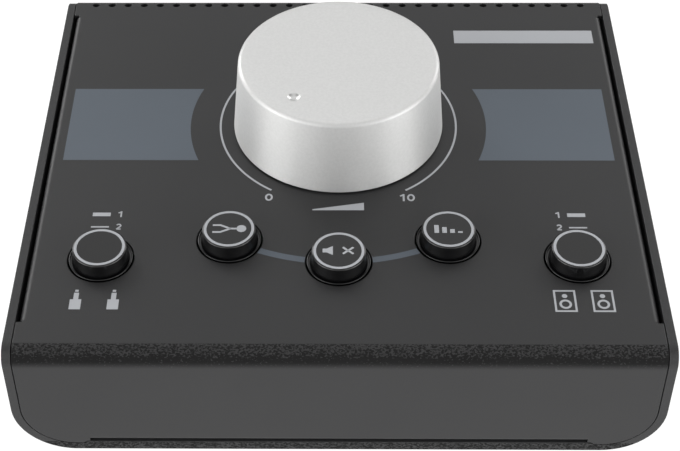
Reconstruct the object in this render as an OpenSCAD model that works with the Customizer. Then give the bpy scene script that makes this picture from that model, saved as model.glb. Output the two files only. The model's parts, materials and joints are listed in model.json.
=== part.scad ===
// Desktop studio monitor controller: a wedge-shaped sheet-metal case with a large volume knob,
// five latching push buttons on the sloping panel and a row of jack sockets at the back.
// +X is to the user's right, +Y to the back, +Z up. The origin is on the desk, under the middle.

/* [Case] */
// Width over the two cheeks
case_w = 195; // [176:1:215]
// Knob axis to the front face, along the panel
panel_front = 102.6; // [101:0.1:115]
// Knob axis to the rear wall, along the desk
rear_run = 73.2; // [72:0.1:90]
// Height of the front face, square to the panel
front_h = 42.8; // [39:0.1:55]
// Slope of the panel to the desk, in degrees
slope = 6; // [4:0.5:9]
// Sheet thickness of the base wrap
base_t = 2.6; // [2:0.1:3]
// Outer radius of the wrap's two lower bends
wrap_r = 18; // [12:0.5:18]
// Sheet thickness of the cover
cover_t = 1.6; // [1.2:0.1:2]
// Outer radius of the cover's front bend
front_bend = 5; // [4:0.5:8]
// Outer radius of the cover's rear bend
rear_bend = 8; // [6:0.5:10]
// Outer radius of the cover's two lower bends
foot_bend = 2.2; // [2.1:0.1:3]
// Depth of the cover's lower flanges
flange_depth = 14; // [12:0.5:18]
// Gap between the cover and the wrap
seam = 0.3; // [0.2:0.05:0.5]
// Step of the cheeks' rear edge behind the rear wall
cheek_step = 0.5; // [0.3:0.1:1]

/* [Panel slots and vents] */
// Width of the slot between cover and cheek
slot_w = 1; // [0.8:0.1:2]
// Front end of the slots, ahead of the knob axis
slot_front = 89.6; // [86:0.2:92]
// Rear end of the slots, behind the knob axis
slot_rear = 59.5; // [55:0.1:61]
// Outer radius of the cover's side bends
side_bend = 2; // [1.9:0.1:3]
// Depth of the cover's side flanges
side_flange = 9; // [6:0.5:11]
// Relief cut at each end of a side flange
relief = 0.8; // [0.6:0.1:1.2]
// How far the relief cuts reach in past the slot
relief_reach = 1; // [0.6:0.1:1.8]
// Number of vent holes
vent_count = 31; // [11:2:31]
// Outermost vent to the cheek's outer face
vent_side = 10; // [9.5:0.1:16]
// Diameter of a vent hole
vent_d = 2.65; // [2:0.05:3]
// How far round the rear bend the vents lie, in degrees
vent_turn = 9; // [5:1:15]

/* [Front lip] */
// End of the base's front lip to the cheek's outer face
lip_side = 20.3; // [20:0.1:28]
// Height of the lip, square to the panel
lip_h = 3.5; // [3.4:0.1:4]
// Corner radius of the lip
lip_r = 1.5; // [1:0.1:2]

/* [Volume knob] */
// Diameter at the knob's lower edge
knob_d = 68.9; // [60:0.1:72]
// Diameter at the knob's upper edge
knob_top_d = 64.8; // [56:0.4:68]
// Height of the knob's top above the panel
knob_top = 26.6; // [24:0.2:32]
// Gap under the knob
knob_gap = 0.5; // [0.4:0.1:1]
// Radius of the knob's top edge
knob_edge = 1; // [0.6:0.1:1.5]
// Side wall of the knob
knob_wall = 2; // [1.5:0.1:3]
// Thickness of the knob's top
knob_roof = 3; // [2.4:0.1:4]
// Distance of the pointer dimple from the axis
dimple_dist = 23.2; // [18:0.2:25]
// Angle of the dimple, clockwise from the front, in degrees
dimple_turn = 37.2; // [33:0.1:38]
// Diameter of the dimple
dimple_d = 4; // [3:0.1:5]
// Depth of the dimple
dimple_deep = 0.8; // [0.5:0.1:1.2]
// Outer diameter of the boss under the knob's top
boss_d = 18; // [17:0.5:22]

/* [Potentiometer] */
// Diameter of the shaft
shaft_d = 6; // [5.8:0.05:6.35]
// Height of the shaft's end above the panel
shaft_top = 20.5; // [18:0.5:21]
// Depth of the flat on the shaft
flat_deep = 1.5; // [1:0.1:1.8]
// Diameter of the threaded bushing
bushing_d = 9; // [8.5:0.1:9.5]
// Height of the bushing above the panel
bushing_top = 5.2; // [4.5:0.1:6]
// Width across the flats of the bushing's nut
bushing_nut_af = 12; // [11:0.5:14]
// Thickness of the bushing's nut
bushing_nut_t = 2; // [1.5:0.1:2.4]
// Thickness of the washer
washer_t = 0.8; // [0.5:0.1:1]
// Width of the square housing
pot_w = 24; // [23:0.5:28]
// Bore of the housing
pot_bore_d = 21; // [20:0.5:21.5]
// Wall under and over the housing's bore
pot_wall = 1.5; // [1.2:0.1:1.8]
// Running clearance of the shaft
run_fit = 0.05; // [0.03:0.01:0.08]

/* [Buttons] */
// Diameter of the panel holes
button_hole_d = 20.5; // [20.2:0.1:22]
// Diameter of a cap at the panel
cap_rim_d = 19.4; // [18:0.1:19.6]
// Diameter of a cap's flat top
cap_top_d = 16.2; // [15:0.1:16.6]
// Height of a cap's top above the panel
cap_top = 4.8; // [4:0.1:6]
// Gap left under the skirt of a pressed cap
cap_gap = 0.5; // [0.4:0.1:1]
// Wall of a cap
cap_wall = 1.4; // [1.2:0.1:1.8]
// Travel of a button
travel = 2.5; // [1.5:0.1:2.7]
// Radius of the arc that the three middle buttons lie on
arc_r = 64.6; // [62:0.2:70]
// Angle of the outer two of them, in degrees
arc_turn = 31.3; // [28:0.1:34]
// Outer buttons to the cheeks' outer faces, across
outer_side = 25.1; // [23:0.1:28]
// Knob axis to the outer buttons, forwards
outer_y = 63.3; // [62:0.1:68]
// Width of a switch body
switch_w = 11; // [10:0.2:13]
// Height of a switch body
switch_h = 9; // [8.8:0.1:9.2]
// Width of a plunger
plunger_w = 3; // [2.6:0.1:3.2]
// Outer diameter of a return spring
spring_d = 5.6; // [5:0.1:6]
// Wire diameter of a return spring
spring_wire = 0.5; // [0.4:0.05:0.6]
// Turns of a return spring
spring_turns = 4; // [3:1:5]

/* [Rear sockets] */
// Outermost sockets to the cheeks' outer faces
socket_side = 17.5; // [16:0.1:22]
// Height of the large sockets' axis above the desk
socket_z = 32; // [30:0.5:36]
// Bore of a large socket
socket_bore_d = 6.4; // [6.35:0.01:6.45]
// Diameter of a large socket's nose
nose_d = 9.4; // [9:0.1:10]
// How far the noses stand out of the rear wall
nose_out = 4.4; // [3.5:0.1:6]
// Depth of a plug in a large socket
plug_depth = 31; // [30:0.5:33]
// Width of a large socket's body
socket_w = 15.5; // [14:0.5:17]
// Height of a large socket's body
socket_h = 12; // [11:0.5:14]
// Width across the flats of a large socket's nut
socket_nut_af = 13; // [12:0.5:15]
// Thickness of a socket nut
socket_nut_t = 2.2; // [1.8:0.1:3]
// Bore of the small socket
mini_bore_d = 3.6; // [3.55:0.01:3.65]
// Diameter of the small socket's nose
mini_nose_d = 6; // [5.6:0.1:6.4]
// Depth of a plug in the small socket
mini_depth = 15; // [14.5:0.5:17]
// Width and height of the small socket's body
mini_w = 7; // [6.8:0.2:8]

/* [Boards] */
// Thickness of the circuit boards
board_t = 1.6; // [1.4:0.1:2]
// Depth of the control board below the panel
board_drop = 16; // [15.8:0.1:16.4]
// Gap between the control board and the cover's side flanges
board_gap = 5.6; // [4:0.1:8]
// Control board ahead of the knob axis
board_front = 80; // [78:0.5:86]
// Control board behind the knob axis
board_rear = 34; // [32:0.5:37]
// Gap between the jack board and the cheeks
jack_board_gap = 4.9; // [4:0.1:6]
// Depth of the jack board ahead of the sockets
jack_board_apron = 13; // [12:0.5:16]
// Width of the ribbon cable
ribbon_w = 20.3; // [15:0.5:24]
// Thickness of the ribbon cable
ribbon_t = 0.9; // [0.8:0.1:1.1]
// Bend radius of the ribbon cable
ribbon_r = 5; // [4:0.5:6]
// Height of the connectors on the ribbon cable
header_h = 6; // [5:0.5:7]
// Depth of the connectors on the ribbon cable
header_d = 6; // [5:0.5:8]

/* [Fasteners and feet] */
// Diameter of the M3 screws
screw_d = 3; // [2.8:0.1:3.1]
// Diameter of a countersunk or pan head
head_d = 5.6; // [5.2:0.1:6]
// Height of a head
head_h = 1.6; // [1.3:0.1:1.8]
// Diameter of a clinch nut's head
nut_d = 6.4; // [6:0.1:7]
// Height of a clinch nut's head
nut_h = 1.2; // [1.2:0.1:2.2]
// Outer base screws to the cheeks' outer faces
base_screw_side = 37.5; // [34:0.5:44]
// Length of a board screw
board_screw_len = 8; // [6:0.5:10]
// Diameter of a board standoff
standoff_d = 5.5; // [5:0.1:6.5]
// Diameter of a rubber foot
foot_d = 14; // [10:0.5:16]
// Height of a rubber foot
foot_h = 3; // [2.4:0.1:5]
// Feet to the cheeks' outer faces
foot_side = 25.5; // [25:0.5:34]
// Distance of the feet from the case's front and rear edges
foot_inset = 17; // [14:0.5:24]

/* [Hidden] */

$fn = 96;
fit = 0.05;          // radial clearance of what is pressed or screwed together
hole_gap = 0.2;      // radial clearance of a screw or nose in its hole
cut = 1;             // how far a cutting shape runs past the face that it cuts
lap = 0.02;          // how far the stretches of one bent strip run into each other
end_gap = 0.3;       // clearance at the end of what turns or slides
pin_w = 0.6;         // width of a solder pin
pin_gap = 0.1;       // clearance round a solder pin in its board
pin_tail = 1.8;      // length of a solder pin below its board
pin_sink = 0.5;      // how far a pin's head lies under the floor of its switch

// Case, seen from the side: the knob's axis meets the panel at (axis_y, axis_z).
base_z = foot_h;
floor_z = base_z + base_t;
axis_z = base_z + panel_front * sin(slope) + front_h * cos(slope);
front_reach = (panel_front - front_bend) * cos(slope) - front_bend * sin(slope) + front_bend;
axis_y = (front_reach - rear_run - nose_out) / 2;
rear_y = axis_y + rear_run;
wall_y = rear_y - cover_t;
front_foot_y = axis_y - panel_front * cos(slope) + front_h * sin(slope);
cover_z = floor_z + nut_h;
inner_half = case_w / 2 - base_t;
cover_half = inner_half - seam;
slot_in = inner_half - slot_w;
vent_pitch = (case_w - 2 * vent_side) / (vent_count - 1);
lip_half = case_w / 2 - lip_side;
notch_half = lip_half + seam;
base_screw_x = case_w / 2 - base_screw_side;
foot_x = case_w / 2 - foot_side;
nut_barrel_d = screw_d + 2;
screw_xs = [-base_screw_x, 0, base_screw_x];
screw_in = (flange_depth + foot_bend) / 2;
screw_ys = [front_foot_y + cover_t + screw_in, wall_y - screw_in];
foot_ys = [front_foot_y + foot_inset, rear_y - foot_inset];

// Buttons: [across, along the panel] of source, mono, mute, dim and monitor.
arc_x = arc_r * sin(arc_turn);
arc_y = arc_r * cos(arc_turn);
outer_x = case_w / 2 - outer_side;
button_at = [[-outer_x, -outer_y], [-arc_x, -arc_y], [0, -arc_r], [arc_x, -arc_y], [outer_x, -outer_y]];
switch_top = switch_h - board_drop;
switch_wall = 1.2;
switch_base = 1.5;
switch_floor = switch_base - board_drop;
switch_bore_d = 7.2;
collar_d = 6.4;
collar_gap = 0.2;
collar_top = switch_top - switch_wall - collar_gap;
collar_t = 1;
cap_skirt = -switch_top - travel - cap_gap;
plunger_gap = 0.8;
plunger_top = cap_top - cap_wall - plunger_gap;
socket_d = 6.6;
pin_rows = [-3.4, 3.4];
pin_cols = [-3.2, 0, 3.2];

// Knob's insert and the flat on its shaft.
insert_wall = 2;
insert_gap = 1.3;
insert_step = 1;
insert_d = boss_d - 2 * insert_wall;
insert_z = bushing_top + insert_gap;
boss_z = insert_z + insert_step;
flat_y = shaft_d / 2 - flat_deep;

// Potentiometer, below the panel.
pot_top = -cover_t;
pot_floor = pot_wall - board_drop;
bushing_flange_d = 13;
bushing_flange_t = 1.2;
rotor_top = pot_top - pot_wall - bushing_flange_t - end_gap;
rotor_t = 1;
gang_step = 3.9;
rotor_d = 18;
rotor_hub_d = 9;
finger_d = 2;
finger_h = 0.6;
track_t = 1;
track_gap = 0.3;
track_bore_d = rotor_hub_d + 2;
washer_d = bushing_nut_af + 2;
pot_pin_rows = [-8.5, -6, 6, 8.5];

// Sockets.
socket_columns = [-4, -3, -2, -1, 1, 2, 3, 4];
socket_pitch = (case_w / 2 - socket_side) / 4;
bore_floor = 2;
jack_board_top = socket_z - socket_h / 2;
mini_z = jack_board_top + mini_w / 2;
socket_len = plug_depth - nose_out - cover_t + bore_floor;
mini_out = 3;
mini_len = mini_depth - mini_out - cover_t + bore_floor;
mini_nut_af = mini_nose_d + 2.5;
mini_nut_t = 1.8;
socket_back = wall_y - socket_len;
contact_ys = [5, 13, 21];
contact_sides = [1, -1, 1];
contact_w = 3;
contact_t = 0.4;
contact_gap = 0.3;
contact_x = socket_bore_d / 2 + contact_gap + contact_t / 2;
mini_contact_x = mini_bore_d / 2 + contact_gap + contact_t / 2;
contact_rise = 2;

// Boards and ribbon cable.
jack_board_y0 = socket_back - jack_board_apron;
board_edge = 1;
jack_board_y1 = wall_y - board_edge;
jack_board_half = inner_half - jack_board_gap;
board_half = slot_in - cover_t - board_gap;
standoff_vs = [8 - board_front, -board_front / 4, board_rear - 6];
standoff_xs = [0.6 * board_half, 0.93 * board_half, 0.7 * board_half];
standoff_at = [for (side_x = [-1, 1], i = [0 : 2]) [side_x * standoff_xs[i], standoff_vs[i]]];
standoff_floor = 2;
resistor_size = [3.2, 1.6, 0.6];
resistor_columns = 9;
resistor_step = [5, 4];
resistor_y = pot_w / 2 + resistor_step[1];
ribbon_v = 14;
ribbon_drop = 2;
header_lug = 2;
header_w = ribbon_w + 2 * header_lug;
ribbon_top = -board_drop - board_t - header_h;
ribbon_end_y = jack_board_y0 + board_edge + header_d / 2;
ribbon_end_z = jack_board_top - board_t - header_h;
ribbon_low_z = ribbon_end_z - ribbon_r - ribbon_drop;

// A point of the side view, given along the panel (v) and square to it (w).
function side(v, w) = [
    axis_y + v * cos(slope) - w * sin(slope),
    axis_z + v * sin(slope) + w * cos(slope)
];

// The panel's coordinate v where the side view has depth y, at height w from the panel.
function panel_v(y, w) = (y - axis_y + w * sin(slope)) / cos(slope);

// The panel's coordinate w where the side view has height z, at v along the panel.
function panel_w(z, v) = (z - axis_z - v * sin(slope)) / cos(slope);

// Carries shapes drawn on the panel's plane to their place.
module on_panel() {
    translate([0, axis_y, axis_z])
        rotate([slope, 0, 0])
            children();
}

// Carries a side view, drawn as (depth, height), across the width from x0 to x1.
module across(x0, x1) {
    translate([x0, 0, 0])
        rotate([90, 0, 90])
            linear_extrude(x1 - x0)
                children();
}

// Carries a front view, drawn as (across, height), from y0 back to y1.
module back(y0, y1) {
    translate([0, y1, 0])
        rotate([90, 0, 0])
            linear_extrude(y1 - y0)
                children();
}

module box(x0, x1, y0, y1, z0, z1) {
    translate([x0, y0, z0])
        cube([x1 - x0, y1 - y0, z1 - z0]);
}

module rod(d, z0, z1) {
    translate([0, 0, z0])
        cylinder(d = d, h = z1 - z0);
}

module disc_at(point, r) {
    translate(point)
        circle(r);
}

module both_sides() {
    children();
    mirror([1, 0, 0])
        children();
}

// Side outline of the case, set in by t: front face, front bend, panel, rear bend and a rear edge at y,
// down to z.
module case_outline(t, y, z) {
    front_v = -panel_front + front_bend;
    rear_v = panel_v(y - rear_bend, -rear_bend);
    low_v = -panel_front + t;
    polygon([
        side(low_v, panel_w(z, low_v)),
        side(low_v, -front_bend),
        side(front_v, -t),
        side(rear_v, -t),
        [y - t, side(rear_v, -rear_bend)[1]],
        [y - t, z]
    ]);
    disc_at(side(front_v, -front_bend), front_bend - t);
    disc_at(side(rear_v, -rear_bend), rear_bend - t);
}

// Inside width of the wrap, less gap, with its lower corners round.
module wrap_outline(gap) {
    half = case_w / 2 - gap;
    r = wrap_r - gap;
    z0 = base_z + gap;
    z1 = axis_z + rear_run;
    translate([-half, z0 + r])
        square([2 * half, z1 - z0 - r]);
    translate([-half + r, z0])
        square([2 * (half - r), z1 - z0]);
    disc_at([-half + r, z0 + r], r);
    disc_at([half - r, z0 + r], r);
}

// Countersunk hole or screw: shank of diameter d up from z0, with a cone of the head's size at its foot.
module countersunk(d, wide, z0, z1) {
    rod(d, z0, z1);
    translate([0, 0, z0])
        cylinder(d1 = wide, d2 = d, h = head_h);
}

module base_wrap() {
    color("#343536") {
        difference() {
            intersection() {
                back(front_foot_y - panel_front, rear_y)
                    difference() {
                        wrap_outline(0);
                        wrap_outline(base_t);
                    }
                across(-case_w, case_w)
                    case_outline(0, rear_y - cheek_step, base_z);
            }
            for (x = screw_xs, y = screw_ys)
                translate([x, y, 0])
                    countersunk(screw_d + 2 * hole_gap, head_d + 2 * hole_gap, base_z, floor_z + cut);
        }
        front_lip();
    }
}

// Upturned lip on the base's front edge, with round upper corners.
module front_lip() {
    top = -front_h + lip_h;
    on_panel()
        translate([0, -panel_front + base_t, 0])
            rotate([90, 0, 0])
                linear_extrude(base_t)
                    lip_outline(lip_half, lip_r, -front_h, top);
}

module lip_outline(half, r, w0, w1) {
    translate([-half, w0])
        square([2 * half, w1 - w0 - r]);
    translate([-half + r, w0])
        square([2 * (half - r), w1 - w0]);
    disc_at([-half + r, w1 - r], r);
    disc_at([half - r, w1 - r], r);
}

// The cover's sheet in side view, with straight walls down to the wrap.
module cover_sheet() {
    difference() {
        case_outline(0, rear_y, floor_z + seam);
        case_outline(cover_t, rear_y, floor_z - cut);
    }
}

// Lower flanges of the cover in side view: each wall's foot turns in over the wrap's floor.
module cover_flange(t) {
    low_v = -panel_front + foot_bend;
    low_w = panel_w(cover_z + foot_bend, low_v);
    low_c = side(low_v, low_w);
    rear_c = [rear_y - foot_bend, cover_z + foot_bend];
    top = cover_z + 2 * foot_bend;
    polygon([
        side(-panel_front + t, panel_w(top, -panel_front + t)),
        side(-panel_front + t, low_w),
        [low_c[0], cover_z + t],
        [rear_c[0], cover_z + t],
        [rear_y - t, rear_c[1]],
        [rear_y - t, top]
    ]);
    disc_at(low_c, foot_bend - t);
    disc_at(rear_c, foot_bend - t);
}

module cover_flanges() {
    difference() {
        cover_flange(0);
        cover_flange(cover_t);
        translate([front_foot_y + cover_t + flange_depth, 0])
            square([wall_y - front_foot_y - cover_t - 2 * flange_depth, axis_z]);
    }
}

// Side flange of the cover, drawn as (across, square to the panel) on the right.
module side_flange_outline() {
    centre = [slot_in - side_bend, -side_bend];
    intersection() {
        difference() {
            disc_at(centre, side_bend);
            disc_at(centre, side_bend - cover_t);
        }
        translate(centre)
            square(side_bend);
    }
    translate([slot_in - cover_t, -side_flange])
        square([cover_t, side_flange - side_bend]);
    translate([slot_in - side_bend - lap, -cover_t])
        square([2 * lap, cover_t]);
}

module top_cover() {
    notch_top = panel_w(cover_z, -panel_front);
    color("#3e3f40") {
        difference() {
            intersection() {
                across(-cover_half, cover_half)
                    cover_sheet();
                back(front_foot_y - panel_front, rear_y + cut)
                    wrap_outline(base_t + seam);
            }
            front_notch(notch_top);
            rear_notch();
            both_sides()
                slot_cut();
            vents();
            panel_holes();
            socket_holes();
        }
        difference() {
            across(-notch_half + foot_bend, notch_half - foot_bend)
                cover_flanges();
            for (x = screw_xs, y = screw_ys)
                translate([x, y, 0])
                    rod(nut_barrel_d, cover_z - cut, cover_z + cover_t + cut);
        }
        both_sides()
            on_panel()
                translate([0, slot_rear - relief + lap, 0])
                    rotate([90, 0, 0])
                        linear_extrude(slot_front + slot_rear - 2 * (relief - lap))
                            side_flange_outline();
    }
}

// Cut for the base's lip in the foot of the front face.
module front_notch(notch_top) {
    bend_z = cover_z + foot_bend;
    bend_c = side(-panel_front + foot_bend, panel_w(bend_z, -panel_front + foot_bend));
    on_panel()
        translate([0, -panel_front + cover_t + cut, 0])
            rotate([90, 0, 0])
                linear_extrude(cover_t + 2 * cut)
                    lip_outline(notch_half, lip_r + seam, -front_h - cut, notch_top);
    across(-notch_half + foot_bend, notch_half - foot_bend)
        difference() {
            polygon([
                side(-panel_front - cut, -front_h - cut),
                side(-panel_front - cut, panel_w(bend_z, -panel_front)),
                bend_c,
                side(-panel_front + foot_bend, -front_h - cut)
            ]);
            disc_at(bend_c, foot_bend);
        }
}

module rear_notch() {
    half = notch_half - foot_bend;
    box(-half, half, wall_y - cut, rear_y + cut, 0, cover_z + foot_bend);
}

// Open strip beside the cheek, with the side flange's bend cut free between the relief cuts.
module slot_cut() {
    on_panel() {
        box(slot_in - side_bend, case_w / 2, relief - slot_front, slot_rear - relief, -cover_t - cut, cut);
        box(slot_in - relief_reach, case_w / 2, -slot_front, slot_rear, -cover_t - cut, cut);
    }
}

module vents() {
    vent_c = side(panel_v(rear_y - rear_bend, -rear_bend), -rear_bend);
    first = -(vent_count - 1) / 2 * vent_pitch;
    for (i = [0 : vent_count - 1])
        translate([first + i * vent_pitch, vent_c[0], vent_c[1]])
            rotate([slope - vent_turn, 0, 0])
                rod(vent_d, rear_bend - cover_t - cut, rear_bend + cut);
}

module panel_holes() {
    on_panel() {
        rod(bushing_d + 2 * hole_gap, -cover_t - cut, cut);
        for (at = button_at)
            translate(at)
                rod(button_hole_d, -cover_t - cut, cut);
    }
}

module socket_holes() {
    for (column = socket_columns)
        along_y(column * socket_pitch, socket_z)
            rod(nose_d + 2 * hole_gap, wall_y - cut, rear_y + cut);
    along_y(0, mini_z)
        rod(mini_nose_d + 2 * hole_gap, wall_y - cut, rear_y + cut);
}

// Turns a shape drawn along +Z to run along +Y, with its axis at x and z.
module along_y(x, z) {
    translate([x, 0, z])
        rotate([-90, 0, 0])
            children();
}

module clinch_nuts() {
    color("silver")
        for (x = screw_xs, y = screw_ys)
            translate([x, y, 0])
                difference() {
                    union() {
                        rod(nut_d, floor_z, cover_z);
                        rod(nut_barrel_d - 2 * fit, cover_z, cover_z + cover_t);
                    }
                    rod(screw_d + 2 * fit, floor_z - cut, cover_z + cover_t + cut);
                }
}

module base_screws() {
    color("dimgray")
        for (x = screw_xs, y = screw_ys)
            translate([x, y, 0])
                difference() {
                    countersunk(screw_d, head_d, base_z, cover_z + cover_t);
                    cross_slot(base_z);
                }
}

// Cross recess in a screw head whose outer face is at z.
module cross_slot(z) {
    for (turn = [0, 90])
        rotate([0, 0, turn])
            box(-head_d / 3, head_d / 3, -head_h / 5, head_h / 5, z - cut, z + head_h / 2);
}

module foot(x, y) {
    color("#1c1c1d")
        translate([x, y, 0])
            rotate_extrude()
                polygon([[0, 0], [foot_d / 2 - foot_h / 3, 0], [foot_d / 2, foot_h / 3],
                    [foot_d / 2, foot_h], [0, foot_h]]);
}

module foot_front_left() { foot(-foot_x, foot_ys[0]); }
module foot_front_right() { foot(foot_x, foot_ys[0]); }
module foot_rear_left() { foot(-foot_x, foot_ys[1]); }
module foot_rear_right() { foot(foot_x, foot_ys[1]); }

// Half section of the knob's shell, with a round upper edge.
module knob_section() {
    edge_c = [knob_top_d / 2 - knob_edge, knob_top - knob_edge];
    difference() {
        union() {
            polygon([[0, knob_gap], [knob_d / 2, knob_gap], [knob_top_d / 2, edge_c[1]],
                [edge_c[0], knob_top], [0, knob_top]]);
            disc_at(edge_c, knob_edge);
        }
        polygon([[boss_d / 2, knob_gap - cut], [knob_d / 2 - knob_wall, knob_gap - cut],
            [knob_top_d / 2 - knob_wall, knob_top - knob_roof], [boss_d / 2, knob_top - knob_roof]]);
        translate([-cut, knob_gap - cut])
            square([boss_d / 2 + 2 * cut, boss_z - knob_gap + cut]);
        translate([-cut, knob_gap - cut])
            square([insert_d / 2 + fit + cut, knob_top - knob_roof - knob_gap + cut]);
    }
}

module volume_knob() {
    ball_r = (dimple_d * dimple_d / 4 + dimple_deep * dimple_deep) / (2 * dimple_deep);
    color("#d4d4d2")
        on_panel()
            difference() {
                rotate_extrude()
                    knob_section();
                rotate([0, 0, -dimple_turn])
                    translate([0, -dimple_dist, knob_top + ball_r - dimple_deep])
                        sphere(ball_r);
            }
}

// Round bar of diameter d from z0 to z1 with a flat on its rear side above z_flat.
module d_bar(d, z0, z1, z_flat, flat_y) {
    difference() {
        rod(d, z0, z1);
        box(-d, d, flat_y, flat_y + d, z_flat, z1 + cut);
    }
}

module knob_insert() {
    color("#202021")
        on_panel()
            difference() {
                rod(insert_d, insert_z, knob_top - knob_roof);
                d_bar(shaft_d + 2 * fit, insert_z - cut, shaft_top + end_gap, insert_z - 2 * cut,
                    flat_y + fit);
            }
}

module pot_shaft() {
    color("#b8b8b4")
        on_panel()
            d_bar(shaft_d, pot_floor + end_gap, shaft_top, insert_z - fit, flat_y);
}

module pot_rotor() {
    gang = rotor_top - gang_step;
    color("#efe9da")
        on_panel()
            difference() {
                union() {
                    rod(rotor_hub_d, gang - rotor_t, rotor_top);
                    for (top = [rotor_top, gang]) {
                        rod(rotor_d, top - rotor_t, top);
                        translate([0, -(rotor_d + rotor_hub_d) / 4, 0])
                            rod(finger_d, top - rotor_t - finger_h, top - rotor_t);
                    }
                }
                rod(shaft_d + 2 * fit, gang - rotor_t - cut, rotor_top + cut);
            }
}

module pot_bushing() {
    color("#c9b27a")
        on_panel()
            difference() {
                union() {
                    rod(bushing_d, pot_top - pot_wall, bushing_top);
                    rod(bushing_flange_d, pot_top - pot_wall - bushing_flange_t, pot_top - pot_wall);
                }
                rod(shaft_d + 2 * run_fit, pot_top - 2 * pot_wall - cut, bushing_top + cut);
            }
}

module pot_washer() {
    color("silver")
        on_panel()
            difference() {
                rod(washer_d, 0, washer_t);
                rod(bushing_d + 2 * fit, -cut, washer_t + cut);
            }
}

// Hexagon nut of width af with a bore of diameter d, from z0 to z1.
module hex_nut(af, d, z0, z1) {
    difference() {
        translate([0, 0, z0])
            cylinder(d = af / cos(30), h = z1 - z0, $fn = 6);
        rod(d + 2 * fit, z0 - cut, z1 + cut);
    }
}

module pot_nut() {
    color("silver")
        on_panel()
            hex_nut(bushing_nut_af, bushing_d, washer_t, washer_t + bushing_nut_t);
}

module pot_housing() {
    half = pot_w / 2;
    color("#3a3f46")
        on_panel()
            difference() {
                box(-half, half, -half, half, -board_drop, pot_top);
                rod(pot_bore_d, pot_floor, pot_top - pot_wall);
                rod(bushing_d + 2 * fit, pot_floor, pot_top + cut);
                pot_pin_shapes(pin_w + 2 * pin_gap, pot_floor);
            }
}

module pot_tracks() {
    color("#1f2226")
        on_panel()
            for (top = [rotor_top, rotor_top - gang_step])
                difference() {
                    rod(pot_bore_d - 2 * fit, track_top(top) - track_t, track_top(top));
                    rod(track_bore_d, track_top(top) - track_t - cut, track_top(top) + cut);
                }
}

function track_top(top) = top - rotor_t - finger_h - track_gap;

// Solder pins of the potentiometer, as square bars of width w up to z1.
module pot_pin_shapes(w, z1) {
    for (x = pot_pin_rows, y = pin_rows)
        translate([x, y, 0])
            box(-w / 2, w / 2, -w / 2, w / 2, -board_drop - board_t - pin_tail, z1);
}

module pot_pins() {
    color("silver")
        on_panel()
            pot_pin_shapes(pin_w, pot_floor);
}

// Half section of a button cap: flat top, round shoulder, flaring side, rim at the panel and a skirt.
module cap_section() {
    shoulder = 0.7;
    rim = 0.35;
    rim_z = 0.1;
    shoulder_c = [cap_top_d / 2, cap_top - shoulder];
    rim_c = [cap_rim_d / 2 - rim, rim_z];
    skirt_step = 0.3;
    skirt_r = cap_rim_d / 2 - skirt_step;
    difference() {
        union() {
            polygon([[0, -cap_skirt], [skirt_r, -cap_skirt], [skirt_r, rim_z], [rim_c[0], rim_z + rim],
                [shoulder_c[0] + shoulder, shoulder_c[1]], [shoulder_c[0], cap_top], [0, cap_top]]);
            disc_at(shoulder_c, shoulder);
            disc_at(rim_c, rim);
        }
        polygon([[socket_d / 2, -cap_skirt - cut], [skirt_r - cap_wall, -cap_skirt - cut],
            [skirt_r - cap_wall, 0], [cap_top_d / 2 - cap_wall / 2, cap_top - cap_wall],
            [socket_d / 2, cap_top - cap_wall]]);
    }
}

module cap(i) {
    color("#141516")
        on_panel()
            translate(button_at[i])
                difference() {
                    rotate_extrude()
                        cap_section();
                    square_bar(plunger_w + 2 * fit, -cap_skirt - cut, plunger_top + fit);
                }
}

module square_bar(w, z0, z1) {
    box(-w / 2, w / 2, -w / 2, w / 2, z0, z1);
}

module plunger(i) {
    color("#e8e6df")
        on_panel()
            translate(button_at[i]) {
                square_bar(plunger_w, collar_top, plunger_top);
                rod(collar_d, collar_top - collar_t, collar_top);
            }
}

// Compression spring between the switch's floor and the plunger's collar, swept as one coil.
module spring(i) {
    z0 = switch_floor + spring_wire / 2 + lap;
    z1 = collar_top - collar_t - spring_wire / 2 - lap;
    steps = 12;
    sides = 6;
    count = spring_turns * steps;
    r = (spring_d - spring_wire) / 2;
    rings = [for (k = [0 : count])
        let (turn = 360 * k / steps, z = z0 + (z1 - z0) * k / count)
            for (s = [0 : sides - 1])
                let (a = 360 * s / sides, d = r + spring_wire / 2 * cos(a))
                    [d * cos(turn), d * sin(turn), z + spring_wire / 2 * sin(a)]];
    walls = [for (k = [0 : count - 1], s = [0 : sides - 1])
        let (a = k * sides + s, b = k * sides + (s + 1) % sides)
            [a, a + sides, b + sides, b]];
    first = [for (s = [0 : sides - 1]) s];
    last = [for (s = [sides - 1 : -1 : 0]) count * sides + s];
    color("silver")
        on_panel()
            translate(button_at[i])
                polyhedron(rings, concat(walls, [first], [last]));
}

module switch(i) {
    color("#2b2d30")
        on_panel()
            translate(button_at[i])
                difference() {
                    square_bar(switch_w, -board_drop, switch_top);
                    rod(switch_bore_d, switch_floor, switch_top - switch_wall);
                    square_bar(plunger_w + 2 * hole_gap, switch_floor, switch_top + cut);
                    switch_pin_shapes(pin_w + 2 * pin_gap, switch_floor - pin_sink);
                }
}

module switch_pin_shapes(w, z1) {
    for (x = pin_cols, y = pin_rows)
        translate([x, y, 0])
            square_bar(w, -board_drop - board_t - pin_tail, z1);
}

module switch_pins() {
    color("silver")
        on_panel()
            for (at = button_at)
                translate(at)
                    switch_pin_shapes(pin_w, switch_floor - pin_sink);
}

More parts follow.
